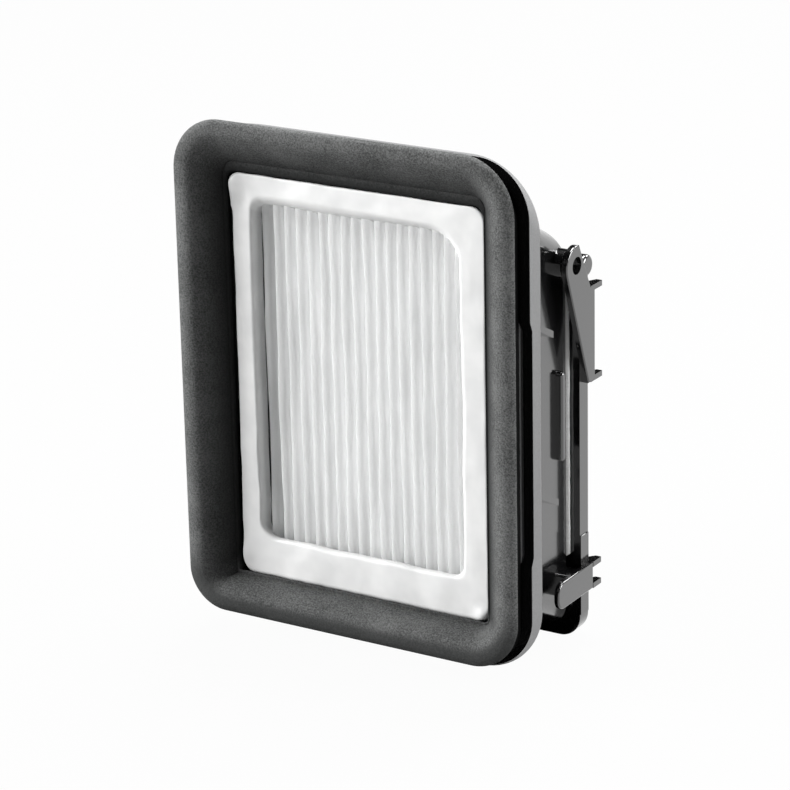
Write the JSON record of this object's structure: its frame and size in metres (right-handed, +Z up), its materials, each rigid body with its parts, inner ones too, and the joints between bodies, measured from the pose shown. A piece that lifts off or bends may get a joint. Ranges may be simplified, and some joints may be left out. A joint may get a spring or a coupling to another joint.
{
  "type": "pleated vacuum filter",
  "caption": "Pleated air filter in a slanted black plastic frame, with a soft flared rubber seal round the front and a hinged rear frame held by latch arms.",
  "frame": {"origin": "middle of the sealing plane at the crest of the front seal", "axes": "-Y out of the front through the seal, +X to the right seen from the front, +Z up"},
  "size_m": [0.0816, 0.0442, 0.1159],
  "materials": {
    "frame_plastic": "glossy moulded black, flange edge finely grained",
    "seal_rubber": "matte charcoal, fine grain",
    "glue": "poured, smooth and wavy",
    "media": "white non-woven, folded",
    "felt": "white felt",
    "door_plastic": "glossy moulded black"
  },
  "bodies": {
    "cartridge": {"filter_frame": "frame_plastic", "gasket": "seal_rubber", "glue_bead": "glue", "pleat_pack": "media", "felt_sheet": "felt"},
    "rear_frame": {"screen_frame": "door_plastic"}
  },
  "joints": [
    {"name": "rear_frame_hinge", "type": "hinge", "parent": "cartridge", "child": "rear_frame", "pos_m": [0, 0.0332, 0.0236], "axis": [1, 0, 0], "range_deg": [0, 75]}
  ]
}
